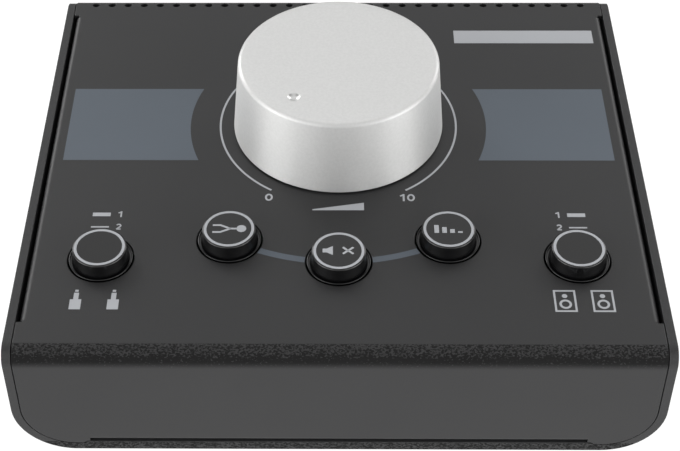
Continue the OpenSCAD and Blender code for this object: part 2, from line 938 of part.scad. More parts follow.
module source_cap() { cap(0); }
module mono_cap() { cap(1); }
module mute_cap() { cap(2); }
module dim_cap() { cap(3); }
module monitor_cap() { cap(4); }
module source_plunger() { plunger(0); }
module mono_plunger() { plunger(1); }
module mute_plunger() { plunger(2); }
module dim_plunger() { plunger(3); }
module monitor_plunger() { plunger(4); }
module source_spring() { spring(0); }
module mono_spring() { spring(1); }
module mute_spring() { spring(2); }
module dim_spring() { spring(3); }
module monitor_spring() { spring(4); }
module source_switch() { switch(0); }
module mono_switch() { switch(1); }
module mute_switch() { switch(2); }
module dim_switch() { switch(3); }
module monitor_switch() { switch(4); }

module control_board() {
    color("#1d4a2c")
        on_panel()
            difference() {
                box(-board_half, board_half, -board_front, board_rear, -board_drop - board_t, -board_drop);
                for (at = standoff_at)
                    translate(at)
                        rod(screw_d + 2 * hole_gap, -board_drop - board_t - cut, -board_drop + cut);
                for (at = button_at)
                    translate(at)
                        switch_pin_shapes(pin_w + 2 * pin_gap, cut - board_drop);
                pot_pin_shapes(pin_w + 2 * pin_gap, cut - board_drop);
            }
}

module board_standoffs() {
    color("silver")
        on_panel()
            for (at = standoff_at)
                translate(at)
                    difference() {
                        rod(standoff_d, -board_drop, -cover_t);
                        rod(screw_d + 2 * fit, -board_drop - cut, -cover_t - standoff_floor);
                    }
}

module board_screws() {
    low = -board_drop - board_t;
    color("dimgray")
        on_panel()
            for (at = standoff_at)
                translate(at)
                    difference() {
                        union() {
                            rod(screw_d, low, low + board_screw_len);
                            rod(head_d, low - head_h, low);
                        }
                        cross_slot(low - head_h);
                    }
}

// Fixed resistors of the attenuator, in two rows on the board behind the potentiometer.
module attenuator_resistors() {
    first = -(resistor_columns - 1) / 2 * resistor_step[0] - resistor_size[0] / 2;
    color("#101113")
        on_panel()
            for (i = [0 : resistor_columns - 1], row = [0, 1])
                translate([first + i * resistor_step[0], resistor_y + row * resistor_step[1], -board_drop])
                    cube(resistor_size);
}

module jack_board() {
    color("#1d4a2c")
        difference() {
            box(-jack_board_half, jack_board_half, jack_board_y0, jack_board_y1, jack_board_top - board_t,
                jack_board_top);
            for (column = socket_columns)
                contact_shapes(column, contact_t + 2 * pin_gap, contact_w + 2 * pin_gap, contact_rise);
            mini_contact_shapes(contact_t + 2 * pin_gap, contact_w / 2 + 2 * pin_gap, contact_rise / 2);
        }
}

// Contact tongues beside a large socket's bore, down through the board, t thick and w wide.
module contact_shapes(column, t, w, rise) {
    for (i = [0 : len(contact_ys) - 1])
        translate([column * socket_pitch + contact_sides[i] * contact_x, wall_y - contact_ys[i], 0])
            box(-t / 2, t / 2, -w / 2, w / 2, jack_board_top - board_t - pin_tail, socket_z + rise);
}

module mini_contact_shapes(t, w, rise) {
    for (turn = [-1, 1])
        translate([turn * mini_contact_x, wall_y - mini_len / 2 + turn * contact_w, 0])
            box(-t / 2, t / 2, -w / 2, w / 2, jack_board_top - board_t - pin_tail, mini_z + rise);
}

module jack_contacts() {
    color("#d9d2b0") {
        for (column = socket_columns)
            contact_shapes(column, contact_t, contact_w, contact_rise);
        mini_contact_shapes(contact_t, contact_w / 2, contact_rise / 2);
    }
}

// Large socket: a body on the board and a threaded nose through the rear wall, with one blind bore.
module jack(column) {
    x = column * socket_pitch;
    color("#18191a")
        difference() {
            union() {
                box(x - socket_w / 2, x + socket_w / 2, socket_back, wall_y, jack_board_top,
                    jack_board_top + socket_h);
                along_y(x, socket_z)
                    rod(nose_d, wall_y - cut, rear_y + nose_out);
            }
            along_y(x, socket_z)
                rod(socket_bore_d, rear_y + nose_out - plug_depth, rear_y + nose_out + cut);
            contact_shapes(column, contact_t + 2 * pin_gap, contact_w + 2 * pin_gap,
                contact_rise + pin_gap);
        }
}

module source_1_left_jack() { jack(4); }
module source_1_right_jack() { jack(3); }
module source_2_left_jack() { jack(2); }
module source_2_right_jack() { jack(1); }
module monitor_1_left_jack() { jack(-1); }
module monitor_1_right_jack() { jack(-2); }
module monitor_2_left_jack() { jack(-3); }
module monitor_2_right_jack() { jack(-4); }

module phone_input_jack() {
    half = mini_w / 2;
    color("#18191a")
        difference() {
            union() {
                box(-half, half, wall_y - mini_len, wall_y, jack_board_top, jack_board_top + mini_w);
                along_y(0, mini_z)
                    rod(mini_nose_d, wall_y - cut, rear_y + mini_out);
            }
            along_y(0, mini_z)
                rod(mini_bore_d, rear_y + mini_out - mini_depth, rear_y + mini_out + cut);
            mini_contact_shapes(contact_t + 2 * pin_gap, contact_w / 2 + 2 * pin_gap,
                contact_rise / 2 + pin_gap);
        }
}

module jack_nuts() {
    color("silver")
        for (column = socket_columns)
            along_y(column * socket_pitch, socket_z)
                hex_nut(socket_nut_af, nose_d, rear_y, rear_y + socket_nut_t);
}

module phone_jack_nut() {
    color("silver")
        along_y(0, mini_z)
            hex_nut(mini_nut_af, mini_nose_d, rear_y, rear_y + mini_nut_t);
}

module control_header() {
    color("#2a2c2f")
        on_panel()
            box(-header_w / 2, header_w / 2, ribbon_v - header_d / 2, ribbon_v + header_d / 2,
                ribbon_top, -board_drop - board_t);
}

module jack_header() {
    color("#2a2c2f")
        box(-header_w / 2, header_w / 2, ribbon_end_y - header_d / 2, ribbon_end_y + header_d / 2,
            ribbon_end_z, jack_board_top - board_t);
}

// Flat cable between the two connectors: down from the control board, back, and up to the jack board.
module ribbon_cable() {
    start = side(ribbon_v, ribbon_top);
    bend_z = ribbon_low_z + ribbon_r;
    drop = (start[1] - bend_z + ribbon_r * sin(slope)) / cos(slope);
    foot_point = start + drop * [sin(slope), -cos(slope)];
    bend_1 = foot_point + ribbon_r * [cos(slope), sin(slope)];
    bend_2 = [ribbon_end_y - ribbon_r, ribbon_low_z + ribbon_r];
    inner = ribbon_r - ribbon_t / 2;
    outer = ribbon_r + ribbon_t / 2;
    color("#6d7278")
        across(-ribbon_w / 2, ribbon_w / 2) {
            translate(start)
                rotate(slope)
                    translate([-ribbon_t / 2, -drop - lap])
                        square([ribbon_t, drop + lap]);
            intersection() {
                ring_at(bend_1, outer, inner);
                translate(bend_1)
                    polygon(2 * outer * [[0, 0], [-cos(slope), -sin(slope)], [-1, -1], [0, -1]]);
            }
            translate([bend_1[0] - lap, ribbon_low_z - ribbon_t / 2])
                square([bend_2[0] - bend_1[0] + 2 * lap, ribbon_t]);
            intersection() {
                ring_at(bend_2, outer, inner);
                translate(bend_2)
                    mirror([0, 1])
                        square(2 * outer);
            }
            translate([ribbon_end_y - ribbon_t / 2, bend_2[1] - lap])
                square([ribbon_t, ribbon_end_z - bend_2[1] + lap]);
        }
}

module ring_at(point, outer, inner) {
    translate(point)
        difference() {
            circle(outer);
            circle(inner);
        }
}

base_wrap();
top_cover();
clinch_nuts();
base_screws();
foot_front_left();
foot_front_right();
foot_rear_left();
foot_rear_right();
volume_knob();
knob_insert();
pot_shaft();
pot_rotor();
pot_bushing();
pot_washer();
pot_nut();
pot_housing();
pot_tracks();
pot_pins();
source_cap();
mono_cap();
mute_cap();
dim_cap();
monitor_cap();
source_plunger();
mono_plunger();
mute_plunger();
dim_plunger();
monitor_plunger();
source_spring();
mono_spring();
mute_spring();
dim_spring();
monitor_spring();
source_switch();
mono_switch();
mute_switch();
dim_switch();
monitor_switch();
switch_pins();
control_board();
board_standoffs();
board_screws();
attenuator_resistors();
jack_board();
source_1_left_jack();
source_1_right_jack();
source_2_left_jack();
source_2_right_jack();
monitor_1_left_jack();
monitor_1_right_jack();
monitor_2_left_jack();
monitor_2_right_jack();
phone_input_jack();
jack_nuts();
phone_jack_nut();
jack_contacts();
control_header();
jack_header();
ribbon_cable();
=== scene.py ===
"""Looks of a desktop studio monitor controller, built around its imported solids.

Lengths are in metres and angles in radians unless a name says otherwise. The row frame has +X to the user's
right, +Y to the back and +Z up. The panel has axes of its own: u across, v along it to the rear and w out of
it, with their zero where the knob's axis meets the panel.
"""

from __future__ import annotations

import json
import logging
import math
from dataclasses import dataclass, field, replace
from enum import Enum
from typing import Any, Sequence

import bmesh
import bpy
import numpy as np
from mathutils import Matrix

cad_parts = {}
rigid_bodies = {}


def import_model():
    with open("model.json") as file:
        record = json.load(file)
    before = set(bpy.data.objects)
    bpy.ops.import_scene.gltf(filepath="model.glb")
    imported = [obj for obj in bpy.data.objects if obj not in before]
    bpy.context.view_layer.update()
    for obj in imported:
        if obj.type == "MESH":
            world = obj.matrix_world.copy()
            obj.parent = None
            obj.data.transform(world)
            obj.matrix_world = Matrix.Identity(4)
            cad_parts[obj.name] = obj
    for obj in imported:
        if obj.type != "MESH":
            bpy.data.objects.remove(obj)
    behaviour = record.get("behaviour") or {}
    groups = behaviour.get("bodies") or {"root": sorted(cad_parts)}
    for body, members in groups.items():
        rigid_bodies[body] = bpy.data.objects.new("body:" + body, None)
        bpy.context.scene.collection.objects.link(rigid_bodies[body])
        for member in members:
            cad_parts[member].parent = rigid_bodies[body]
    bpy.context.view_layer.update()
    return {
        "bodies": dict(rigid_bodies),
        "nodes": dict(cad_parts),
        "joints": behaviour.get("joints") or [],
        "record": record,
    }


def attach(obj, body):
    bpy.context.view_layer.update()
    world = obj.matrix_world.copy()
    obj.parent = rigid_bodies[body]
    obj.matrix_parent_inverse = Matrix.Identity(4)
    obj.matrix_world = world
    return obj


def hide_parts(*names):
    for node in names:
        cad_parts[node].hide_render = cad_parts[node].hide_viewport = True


LOG = logging.getLogger("monitor_controller")
MM = 0.001
FRONT = -math.pi / 2
FULL_TURN = 2 * math.pi
CRISP_EDGE = math.radians(35)


class Body(Enum):
    """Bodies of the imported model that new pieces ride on."""

    CHASSIS = "chassis"
    VOLUME = "volume"


class Function(Enum):
    """What each of the five buttons does; the value starts the names of its nodes."""

    SOURCE = "source"
    MONO = "mono"
    MUTE = "mute"
    DIM = "dim"
    MONITOR = "monitor"

    @property
    def body(self) -> str:
        """Name of the body that the button's cap belongs to."""
        return f"{self.value}_button"


class Side(Enum):
    """Sides of the panel, as the sign of u."""

    LEFT = -1
    RIGHT = 1


# ---------------------------------------------------------------------------------------------------------
# Shader maths and materials
# ---------------------------------------------------------------------------------------------------------


def linear(tone: Sequence[float], light: float = 1.0) -> tuple[float, float, float, float]:
    """Turns a colour as seen on a screen, 0 to 255, into the linear one that a shader takes.

    Args:
        tone: sRGB channels red, green and blue from 0 to 255.
        light: factor on the channels, for a lighter or darker shade of the tone.

    Returns:
        The three linear channels and full opacity.
    """
    shares = np.minimum(np.array(tone) * light, 255) / 255
    red, green, blue = np.where(shares <= 0.04045, shares / 12.92, ((shares + 0.055) / 1.055) ** 2.4).tolist()
    return red, green, blue, 1.0


class Value:
    """A number on a node's socket, with arithmetic written as Python operators."""

    def __init__(self, graph: Graph, socket: bpy.types.NodeSocket) -> None:
        """Wraps a socket of a node tree."""
        self.graph = graph
        self.socket = socket

    def maths(self, operation: str, *others: Any, clamp: bool = False) -> Value:
        """Adds a Math node.

        Args:
            operation: the node's operation.
            others: the second and third operands, as numbers or Values.
            clamp: whether the result is held between 0 and 1.

        Returns:
            The node's result.
        """
        inputs = dict(enumerate((self, *others)))
        node = self.graph.node("ShaderNodeMath", {"operation": operation, "use_clamp": clamp}, inputs)
        return Value(self.graph, node.outputs[0])

    def reflected(self, operation: str, first: float) -> Value:
        """Adds a Math node whose first operand is a plain number and whose second is this Value."""
        node = self.graph.node("ShaderNodeMath", {"operation": operation}, {0: first, 1: self})
        return Value(self.graph, node.outputs[0])

    def __add__(self, other: Any) -> Value:
        """Sum."""
        return self.maths("ADD", other)

    def __radd__(self, other: float) -> Value:
        """Sum with a plain number first."""
        return self.reflected("ADD", other)

    def __sub__(self, other: Any) -> Value:
        """Difference."""
        return self.maths("SUBTRACT", other)

    def __rsub__(self, other: float) -> Value:
        """Difference from a plain number."""
        return self.reflected("SUBTRACT", other)

    def __mul__(self, other: Any) -> Value:
        """Product."""
        return self.maths("MULTIPLY", other)

    def __rmul__(self, other: float) -> Value:
        """Product with a plain number first."""
        return self.reflected("MULTIPLY", other)

    def __pow__(self, other: Any) -> Value:
        """Power."""
        return self.maths("POWER", other)

    def step(self, low: float, high: float) -> Value:
        """Rises smoothly from 0 at low to 1 at high, as 3t^2 - 2t^3."""
        share = (self - low).maths("DIVIDE", high - low, clamp=True)
        return share * share * (3.0 - 2.0 * share)

    def inside(self, low: float, high: float, soft: float) -> Value:
        """Is 1 between low and high and falls to 0 over soft outside them."""
        return self.step(low - soft, low) * (1.0 - self.step(high, high + soft))


class Graph:
    """A node tree, and the one way in which this script adds nodes to it."""

    def __init__(self, tree: bpy.types.NodeTree) -> None:
        """Wraps a node tree."""
        self.tree = tree

    def node(self, kind: str, settings: dict | None = None, inputs: dict | None = None) -> bpy.types.Node:
        """Adds a node.

        Args:
            kind: the node's type name.
            settings: attributes of the node.
            inputs: values or links of its sockets, by name or number.

        Returns:
            The new node.
        """
        made = self.tree.nodes.new(kind)
        for name, value in (settings or {}).items():
            setattr(made, name, value)
        for socket, value in (inputs or {}).items():
            if isinstance(value, Value):
                value = value.socket
            if isinstance(value, bpy.types.NodeSocket):
                self.tree.links.new(value, made.inputs[socket])
            else:
                made.inputs[socket].default_value = value
        return made

    def split(self, vector: bpy.types.NodeSocket) -> list[Value]:
        """The three parts of a vector."""
        parts = self.node("ShaderNodeSeparateXYZ", None, {0: vector})
        return [Value(self, socket) for socket in parts.outputs]


class Shader(Graph):
    """One material: its node tree around a Principled shader."""

    def __init__(self, name: str, tone: Sequence[float], roughness: float, metallic: float = 0.0,
                 **fixed: float) -> None:
        """Starts a material.

        Args:
            name: the material's name.
            tone: sRGB base colour, 0 to 255.
            roughness: roughness of the bare surface.
            metallic: 0 for paint and plastic, 1 for metal.
            fixed: other sockets of the Principled shader, with spaces as underscores.
        """
        self.tone = tone
        self.material = bpy.data.materials.new(name)
        self.material.use_nodes = True
        super().__init__(self.material.node_tree)
        self.surface = self.tree.nodes["Principled BSDF"]
        self.surface.inputs["Base Color"].default_value = linear(tone)
        self.surface.inputs["Roughness"].default_value = roughness
        self.surface.inputs["Metallic"].default_value = metallic
        for socket, value in fixed.items():
            self.surface.inputs[socket.replace("_", " ")].default_value = value
        self.place = self.node("ShaderNodeTexCoord").outputs["Object"]

    def feed(self, socket: str, source: Value | bpy.types.NodeSocket) -> None:
        """Links a result to one of the Principled shader's sockets."""
        link = source.socket if isinstance(source, Value) else source
        self.tree.links.new(link, self.surface.inputs[socket])

    def noise(self, size: float, detail: float = 2.0, roughness: float = 0.5,
              stretch: Sequence[float] = (1, 1, 1)) -> Value:
        """Noise on Object coordinates.

        Args:
            size: size of its grains.
            detail: octaves of finer noise.
            roughness: share of the finer octaves.
            stretch: factor on each axis; a small one draws the grains out along it.

        Returns:
            The noise, about 0.5 on average.
        """
        spot = self.node("ShaderNodeMapping", None, {"Vector": self.place, "Scale": stretch}).outputs[0]
        inputs = {"Vector": spot, "Scale": 1 / size, "Detail": detail, "Roughness": roughness}
        node = self.node("ShaderNodeTexNoise", {"noise_dimensions": "3D"}, inputs)
        return Value(self, node.outputs[0])

    def mix(self, share: Value, first: tuple, second: tuple) -> bpy.types.NodeSocket:
        """Blends two colours, or the results of two nodes, by a share from 0 to 1."""
        inputs = {"Factor": share, 6: first, 7: second}
        return self.node("ShaderNodeMix", {"data_type": "RGBA"}, inputs).outputs[2]

    def shades(self, share: Value, first: float, second: float) -> bpy.types.NodeSocket:
        """Blends two shades of the material's tone, given as factors on it, by a share from 0 to 1."""
        return self.mix(share, linear(self.tone, first), linear(self.tone, second))

    def bump(self, height: Value, depth: float, edge: float = 0.0) -> None:
        """Lets a height from 0 to 1 raise the surface by depth, and rounds the look of edges to a radius."""
        inputs = {"Height": height, "Distance": depth}
        if edge:
            inputs["Normal"] = self.node("ShaderNodeBevel", {"samples": 6}, {"Radius": edge}).outputs[0]
        self.feed("Normal", self.node("ShaderNodeBump", None, inputs).outputs[0])


@dataclass(frozen=True)
class PanelPlane:
    """Plane of the sloping panel, whose axes are u across, v along it to the rear and w out of it."""

    knob_y: float
    knob_z: float
    slope: float

    @classmethod
    def of_joint(cls, joint: dict) -> PanelPlane:
        """Reads the plane from the volume joint, whose axis stands square on the panel."""
        _, knob_y, knob_z = joint["pos_m"]
        return cls(knob_y, knob_z, math.asin(joint["axis"][1]))

    def place(self, points: np.ndarray) -> np.ndarray:
        """Carries points (u, v, w) into the row frame: turned about X by the slope, then shifted."""
        u, v, w = np.moveaxis(np.asarray(points, float), -1, 0)
        cosine, sine = math.cos(self.slope), math.sin(self.slope)
        y = self.knob_y + v * cosine - w * sine
        z = self.knob_z + v * sine + w * cosine
        return np.stack([u, y, z], axis=-1)

    def along(self, y: Any, z: Any) -> tuple[Any, Any]:
        """The coordinates v and w of y and z, as numbers or as shader maths: place() backwards."""
        cosine, sine = math.cos(self.slope), math.sin(self.slope)
        y, z = y - self.knob_y, z - self.knob_z
        return y * cosine + z * sine, z * cosine - y * sine

    def measure(self, piece: bpy.types.Object, faces: bool = False) -> np.ndarray:
        """The corners of a piece, or the middles of its faces, as points (u, v, w)."""
        source, name = (piece.data.polygons, "center") if faces else (piece.data.vertices, "co")
        flat = np.empty(3 * len(source))
        source.foreach_get(name, flat)
        x, y, z = flat.reshape(-1, 3).T
        return np.stack([x, *self.along(y, z)], axis=-1)

    def coordinates(self, shader: Shader) -> tuple[Value, Value]:
        """The coordinates v and w of the shaded point, as shader maths."""
        _, y, z = shader.split(shader.place)
        return self.along(y, z)


@dataclass(frozen=True)
class Zone:
    """Part of the case between two values of v and two of w.

    Its border is soft, and fades out along its lower side; at the front bend that fade is a painted shade
    gradient onto the front face. Towards that side its flecks grow denser, by foot, between two shares of its
    depth below the panel, as painted shade.
    """

    v: tuple[float, float]
    w: tuple[float, float]
    soft: float
    fade: float
    foot: float = 0.0
    foot_from: float = 0.3
    foot_to: float = 0.8

    def share(self, plane: PanelPlane, shader: Shader) -> Value:
        """How far a point lies in the zone, from 0 to 1, as shader maths."""
        v, w = plane.coordinates(shader)
        low, high = self.w
        return v.inside(*self.v, self.soft) * w.step(low - self.fade, low) * (high - w).step(0, self.soft)

    def density(self, plane: PanelPlane, shader: Shader) -> Value:
        """How much denser the flecks are than at the zone's top, as shader maths: painted shade that deepens
        downwards.
        """
        depth = 0.0 - plane.coordinates(shader)[1]
        deepest = -self.w[0]
        return depth.step(self.foot_from * deepest, self.foot_to * deepest) * self.foot


@dataclass(frozen=True)
class PowderCoat:
    """Charcoal powder coat with a fine orange peel, and coarse dark flecks in one zone; at the front bend
    they also paint shade.
    """

    name: str
    tone: tuple[float, float, float]
    roughness: float = 0.46
    grain: float = 0.42 * MM
    stretch: tuple[float, float, float] = (1, 1, 1)
    depth: float = 0.010 * MM
    mottle: float = 0.05
    cloud: float = 22 * MM
    edge: float = 0.4 * MM
    zone: Zone | None = None
    fleck_light: float = 0.05
    fleck_grain: float = 0.5 * MM
    fleck_stretch: tuple[float, float, float] = (0.7, 1, 1)
    fleck_cut: tuple[float, float] = (0.40, 0.56)
    fleck_rough: float = 0.5
    fleck_pit: float = 20.0

    def make(self, plane: PanelPlane) -> bpy.types.Material:
        """Builds the material.

        Args:
            plane: the panel, along which the zone of flecks is measured.

        Returns:
            The material.
        """
        shader = Shader(self.name, self.tone, self.roughness)
        height = peel = shader.noise(self.grain, detail=3, stretch=self.stretch)
        cloud = shader.noise(self.cloud, detail=1)
        colour = shader.shades(peel.step(0.35, 0.65), 1 - self.mottle, 1 + self.mottle)
        roughness = self.roughness + (cloud - 0.5) * 0.08 + (peel - 0.5) * 0.06
        if self.zone:
            share = self.zone.share(plane, shader)
            flecks = shader.noise(self.fleck_grain, detail=2, roughness=0.6, stretch=self.fleck_stretch)
            # Flecks grow denser towards the zone's foot: painted shade, darkening the front bend downwards.
            spots = (flecks + self.zone.density(plane, shader)).step(*self.fleck_cut)
            colour = shader.mix(share, colour, shader.shades(spots, 1.0, self.fleck_light))
            roughness = roughness + spots * share * self.fleck_rough
            height = peel - spots * share * self.fleck_pit
        shader.feed("Base Color", colour)
        shader.feed("Roughness", roughness)
        shader.bump(height, self.depth, self.edge)
        return shader.material


@dataclass(frozen=True)
class SatinSilver:
    """Bead-blasted and clear-anodised aluminium with a faint cloudy grain.

    On a turned side its highlights are drawn out along the axis.
    """

    name: str
    tone: tuple[float, float, float] = (218, 218, 217)
    roughness: float = 0.52
    metallic: float = 0.75
    cut_roughness: float = 0.3
    drawn_out: float = 0.0
    blast: float = 0.35 * MM
    grain: float = 0.9 * MM
    depth: float = 0.002 * MM

    def make(self, cut_at: np.ndarray, cut_r: float) -> bpy.types.Material:
        """Builds the material.

        Args:
            cut_at: middle of the brightly cut dimple.
            cut_r: radius of the dimple.

        Returns:
            The material.
        """
        turned = {"Anisotropic": self.drawn_out, "Anisotropic_Rotation": 0.25}
        shader = Shader(self.name, self.tone, self.roughness, self.metallic, **turned)
        away = [part - float(centre) for part, centre in zip(shader.split(shader.place), cut_at)]
        distance = (away[0] * away[0] + away[1] * away[1] + away[2] * away[2]) ** 0.5
        dull = distance.step(0.9 * cut_r, cut_r)
        blast = shader.noise(self.blast, detail=2)
        grain = shader.noise(self.grain, detail=3, roughness=0.6)
        shader.feed("Base Color", shader.shades(grain.step(0.3, 0.7), 0.985, 1.01))
        rough = self.roughness + (blast - 0.5) * 0.10 + (grain - 0.5) * 0.08
        shader.feed("Roughness", self.cut_roughness + dull * (rough - self.cut_roughness))
        shader.bump((blast + grain * 0.8) * dull, self.depth)
        return shader.material


@dataclass(frozen=True)
class Moulding:
    """Moulded plastic or rubber, from glossy to matt."""

    name: str
    tone: tuple[float, float, float]
    roughness: float
    grain: float = 0.6 * MM
    depth: float = 0.004 * MM
    mottle: float = 0.06
    flow: float = 5 * MM
    shine: float = 0.5

    def make(self) -> bpy.types.Material:
        """Builds the material."""
        shader = Shader(self.name, self.tone, self.roughness, Specular_IOR_Level=self.shine)
        grain = shader.noise(self.grain, detail=2)
        flow = shader.noise(self.flow, detail=1)
        shader.feed("Base Color", shader.shades(flow.step(0.3, 0.7), 1 - self.mottle, 1 + self.mottle))
        shader.feed("Roughness", self.roughness + (grain - 0.5) * 0.10)
        shader.bump(grain, self.depth)
        return shader.material


@dataclass(frozen=True)
class Ink:
    """Screen-printed ink: flat colour with slightly uneven coverage."""

    name: str
    tone: tuple[float, float, float]
    roughness: float = 0.5
    grain: float = 0.5 * MM
    cloud: float = 15 * MM
    depth: float = 0.003 * MM

    def make(self) -> bpy.types.Material:
        """Builds the material."""
        shader = Shader(self.name, self.tone, self.roughness)
        cover = shader.noise(self.grain, detail=3)
        cloud = shader.noise(self.cloud, detail=1)
        shader.feed("Base Color", shader.shades(cover * 0.6 + cloud * 0.4, 0.97, 1.02))
        shader.feed("Roughness", self.roughness + (cover - 0.5) * 0.12)
        shader.bump(cover, self.depth)
        return shader.material


@dataclass(frozen=True)
class BareMetal:
    """Plated, turned or drawn metal with fine marks of its making."""

    name: str
    tone: tuple[float, float, float]
    roughness: float = 0.28
    mark: float = 0.25 * MM
    haze: float = 3 * MM
    depth: float = 0.003 * MM

    def make(self) -> bpy.types.Material:
        """Builds the material."""
        shader = Shader(self.name, self.tone, self.roughness, metallic=1.0)
        marks = shader.noise(self.mark, detail=3, stretch=(0.3, 1, 1))
        haze = shader.noise(self.haze, detail=2)
        shader.feed("Base Color", shader.shades(haze.step(0.3, 0.7), 0.9, 1.03))
        shader.feed("Roughness", self.roughness + (marks - 0.5) * 0.16)
        shader.bump(marks, self.depth)
        return shader.material


# ---------------------------------------------------------------------------------------------------------
# Meshes
# ---------------------------------------------------------------------------------------------------------


def arc(centre: Sequence[float], radius: float, start: float, end: float, count: int) -> np.ndarray:
    """Points of a circular arc in a plane: centre + radius * (cos t, sin t) for t from start to end."""
    turn = np.linspace(start, end, count)
    return np.asarray(centre, float) + radius * np.stack([np.cos(turn), np.sin(turn)], axis=-1)


def line(start: Sequence[float], end: Sequence[float], count: int = 2) -> np.ndarray:
    """Evenly spaced points of a straight line in a plane."""
    return np.linspace(np.asarray(start, float), np.asarray(end, float), count)


def grid_quads(rows: int, columns: int, wrap: bool) -> np.ndarray:
    """Corner numbers of the quads of a grid of points, whose columns close into a ring when wrap is set."""
    spans = columns if wrap else columns - 1
    row, column = np.meshgrid(np.arange(rows - 1), np.arange(spans), indexing="ij")
    right = (column + 1) % columns
    here, below = row * columns, (row + 1) * columns
    return np.stack([here + column, here + right, below + right, below + column], axis=-1).reshape(-1, 4)


@dataclass
class Shape:
    """Points and faces that grow into one piece; its slabs lie between two levels w."""

    levels: tuple[float, float] = (0.0, 0.0)
    points: list[np.ndarray] = field(default_factory=list)
    faces: list[list[int]] = field(default_factory=list)
    count: int = 0

    def add(self, points: np.ndarray, faces: Sequence[Sequence[int]]) -> None:
        """Adds points and the faces between them, numbered from this part's first point."""
        flat = np.asarray(points, float).reshape(-1, 3)
        self.faces.extend((np.asarray(face) + self.count).tolist() for face in faces)
        self.points.append(flat)
        self.count += len(flat)

    def grid(self, points: np.ndarray, wrap: bool = False) -> None:
        """Adds a surface given as rows and columns of points."""
        self.add(points, grid_quads(points.shape[0], points.shape[1], wrap))

    def revolve(self, profile: np.ndarray, turns: np.ndarray, centre: Sequence[float] = (0, 0)) -> None:
        """Adds a closed surface of revolution: (r cos t, r sin t, w) for profile points (r, w) and turns t.

        Args:
            profile: points (r, w) from the axis round to the axis again.
            turns: angles of one full turn, without the last one.
            centre: place (u, v) of the axis.
        """
        radius, height = profile[:, :1], profile[:, 1:]
        u = centre[0] + radius * np.cos(turns)
        v = centre[1] + radius * np.sin(turns)
        self.grid(np.stack([u, v, np.broadcast_to(height, u.shape)], axis=-1), wrap=True)

    def slab(self, left: np.ndarray, right: np.ndarray, closed: bool = False) -> None:
        """Adds a thin plate between two edge curves: a rectangle carried along them.

        Args:
            left, right: as many points (u, v) on each edge.
            closed: whether the curves run back to their start.
        """
        low, high = self.levels
        corners = [(left, low), (left, high), (right, high), (right, low)]
        ring = np.stack([np.column_stack([edge, np.full(len(edge), w)]) for edge, w in corners])
        self.add(ring, grid_quads(5, len(left), closed) % (4 * len(left)))
        if not closed:
            first_end = [self.count - side * len(left) for side in (4, 3, 2, 1)]
            self.faces.append(first_end)
            self.faces.append([corner + len(left) - 1 for corner in reversed(first_end)])

    def trace(self, path: np.ndarray, width: float, closed: bool = False) -> None:
        """Adds a line of even width along points (u, v), as a slab."""
        self.slab(*stroke(path, width, closed), closed)

    def disc(self, centre: np.ndarray, radius: float) -> None:
        """Adds a filled disc, as a slab between its two half circles."""
        self.slab(*(arc(centre, radius, math.pi, end, 25) for end in (0, FULL_TURN)))

    def build(self, name: str, material: bpy.types.Material,
              plane: PanelPlane | None = None) -> bpy.types.Object:
        """Makes the piece: merges seams and poles, turns the faces outwards and shades it.

        Args:
            name: the piece's name.
            material: its finish.
            plane: the panel, when the points are (u, v, w).

        Returns:
            The finished object, at the origin.
        """
        points = np.concatenate(self.points)
        if plane is not None:
            points = plane.place(points)
        mesh = bpy.data.meshes.new(name)
        mesh.from_pydata(points, [], self.faces)
        close_mesh(mesh)
        mesh.materials.append(material)
        mesh.polygons.foreach_set("use_smooth", np.ones(len(mesh.polygons), bool))
        mesh.set_sharp_from_angle(angle=CRISP_EDGE)
        piece = bpy.data.objects.new(name, mesh)
        bpy.context.scene.collection.objects.link(piece)
        return piece


def close_mesh(mesh: bpy.types.Mesh, reach: float = 1e-7) -> None:
    """Merges points that coincide, drops what has no area and turns the faces outwards."""
    work = bmesh.new()
    work.from_mesh(mesh)
    bmesh.ops.remove_doubles(work, verts=work.verts, dist=reach)
    bmesh.ops.dissolve_degenerate(work, edges=work.edges, dist=reach)
    bmesh.ops.recalc_face_normals(work, faces=work.faces)
    work.to_mesh(mesh)
    work.free()


def stroke(path: np.ndarray, width: float, closed: bool = False) -> tuple[np.ndarray, np.ndarray]:
    """Two edges of a line of even width: the path moved along its normals by half the width each way.

    Args:
        path: points (u, v) of the middle line.
        width: width of the line.
        closed: whether the path runs back to its start.

    Returns:
        The left and the right edge.
    """
    ahead = np.roll(path, -1, axis=0) - path
    behind = path - np.roll(path, 1, axis=0)
    if not closed:
        ahead[-1], behind[0] = behind[-1], ahead[0]
    ahead /= np.linalg.norm(ahead, axis=1, keepdims=True)
    behind /= np.linalg.norm(behind, axis=1, keepdims=True)
    middle = ahead + behind
    middle /= np.linalg.norm(middle, axis=1, keepdims=True)
    normal = np.stack([-middle[:, 1], middle[:, 0]], axis=-1)
    mitre = np.sum(middle * ahead, axis=1, keepdims=True)
    offset = normal * width / 2 / np.maximum(mitre, 0.5)
    return path + offset, path - offset


# ---------------------------------------------------------------------------------------------------------
# Sub-assemblies
# ---------------------------------------------------------------------------------------------------------


